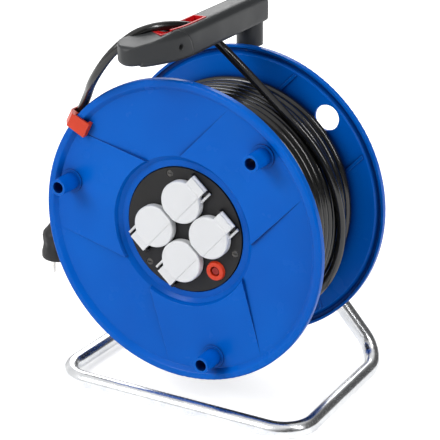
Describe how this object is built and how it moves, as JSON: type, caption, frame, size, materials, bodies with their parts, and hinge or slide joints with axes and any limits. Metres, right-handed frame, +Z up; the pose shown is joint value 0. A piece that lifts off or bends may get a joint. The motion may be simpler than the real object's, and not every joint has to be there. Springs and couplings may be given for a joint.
{
  "type": "extension cord reel",
  "caption": "Free-standing cord reel: a two-flange drum on a bent tube stand, with lidded sockets, a thermal reset, a clip, a guide handle and a plug.",
  "frame": {"origin": "on the floor, midway between the stand's foremost and rearmost reach and midway across the drum", "axes": "+Z up, +Y from the socket face to the back of the stand, +X to the right as the sockets are faced"},
  "size_m": [0.322, 0.2186, 0.371],
  "materials": {
    "blue_plastic": "smooth, semi-gloss moulded plastic",
    "black_plastic": "fine grain",
    "white_plastic": "satin",
    "red_plastic": "satin",
    "grey_plastic": "fine grain",
    "cord_jacket": "smooth, slight sheen",
    "plug_rubber": "matt",
    "zinc_tube": "bright zinc-plated",
    "zinc_plate": "zinc-plated",
    "zinc_fastener": "zinc-plated",
    "dark_screw": "blackened",
    "spring_steel": "oiled",
    "brass_contact": "bright"
  },
  "bodies": {
    "stand": {"frame_tube": "zinc_tube", "hub_plate": "zinc_plate", "clamp_plate": "zinc_plate", "clamp_bolts": "zinc_fastener", "clamp_nuts": "zinc_fastener", "axle_pin": "zinc_plate", "axle_washer": "zinc_fastener", "axle_circlip": "spring_steel", "handle_grip": "grey_plastic", "guide_arm": "grey_plastic", "guide_arm_screw": "dark_screw", "cable_guide_insert": "red_plastic", "post_screw": "zinc_fastener", "cord_lead": "cord_jacket", "plug_body": "plug_rubber", "plug_pins": "brass_contact", "plug_strain_relief": "plug_rubber"},
    "drum": {"front_drum_half": "blue_plastic", "rear_drum_half": "blue_plastic", "drum_screws": "zinc_fastener", "bearing_bush": "black_plastic", "socket_plate": "black_plastic", "plate_screws": "dark_screw", "lid_pins": "spring_steel", "live_bar": "brass_contact", "neutral_bar": "brass_contact", "earth_clips": "brass_contact", "reset_collar": "red_plastic", "thermal_cutout": "black_plastic", "cable_clip": "red_plastic", "cord_core": "cord_jacket", "cord_winding": "cord_jacket", "terminal_block": "grey_plastic", "inner_tail": "cord_jacket", "tail_clamp": "black_plastic", "socket_insert_top": "black_plastic", "socket_insert_right": "black_plastic", "socket_insert_bottom": "black_plastic", "socket_insert_left": "black_plastic"},
    "button": {"reset_button": "red_plastic"},
    "lid_top_body": {"lid_top": "white_plastic"},
    "lid_right_body": {"lid_right": "white_plastic"},
    "lid_bottom_body": {"lid_bottom": "white_plastic"},
    "lid_left_body": {"lid_left": "white_plastic"}
  },
  "joints": [
    {"name": "drum_spin", "type": "hinge", "parent": "stand", "child": "drum", "pos_m": [0, -0.00115, 0.1764], "axis": [0, 1, 0], "continuous": true, "deforming": ["cord_lead"]},
    {"name": "lid_top_hinge", "type": "hinge", "parent": "drum", "child": "lid_top_body", "pos_m": [0.0174, -0.06235, 0.22472], "axis": [-0.7431, 0, 0.6691], "range_deg": [0, 100], "stiffness_Nm_per_rad": 0.01, "springref_deg": -20.05},
    {"name": "lid_right_hinge", "type": "hinge", "parent": "drum", "child": "lid_right_body", "pos_m": [0.0464, -0.06235, 0.19572], "axis": [-0.7431, 0, 0.6691], "range_deg": [0, 100], "stiffness_Nm_per_rad": 0.01, "springref_deg": -20.05},
    {"name": "lid_bottom_hinge", "type": "hinge", "parent": "drum", "child": "lid_bottom_body", "pos_m": [-0.0174, -0.06235, 0.12808], "axis": [0.7431, 0, -0.6691], "range_deg": [0, 100], "stiffness_Nm_per_rad": 0.01, "springref_deg": -20.05},
    {"name": "lid_left_hinge", "type": "hinge", "parent": "drum", "child": "lid_left_body", "pos_m": [-0.0464, -0.06235, 0.15708], "axis": [0.7431, 0, -0.6691], "range_deg": [0, 100], "stiffness_Nm_per_rad": 0.01, "springref_deg": -20.05},
    {"name": "reset_press", "type": "slide", "parent": "drum", "child": "button", "axis": [0, 1, 0], "range_m": [0, 0.002], "stiffness_N_per_m": 400}
  ]
}
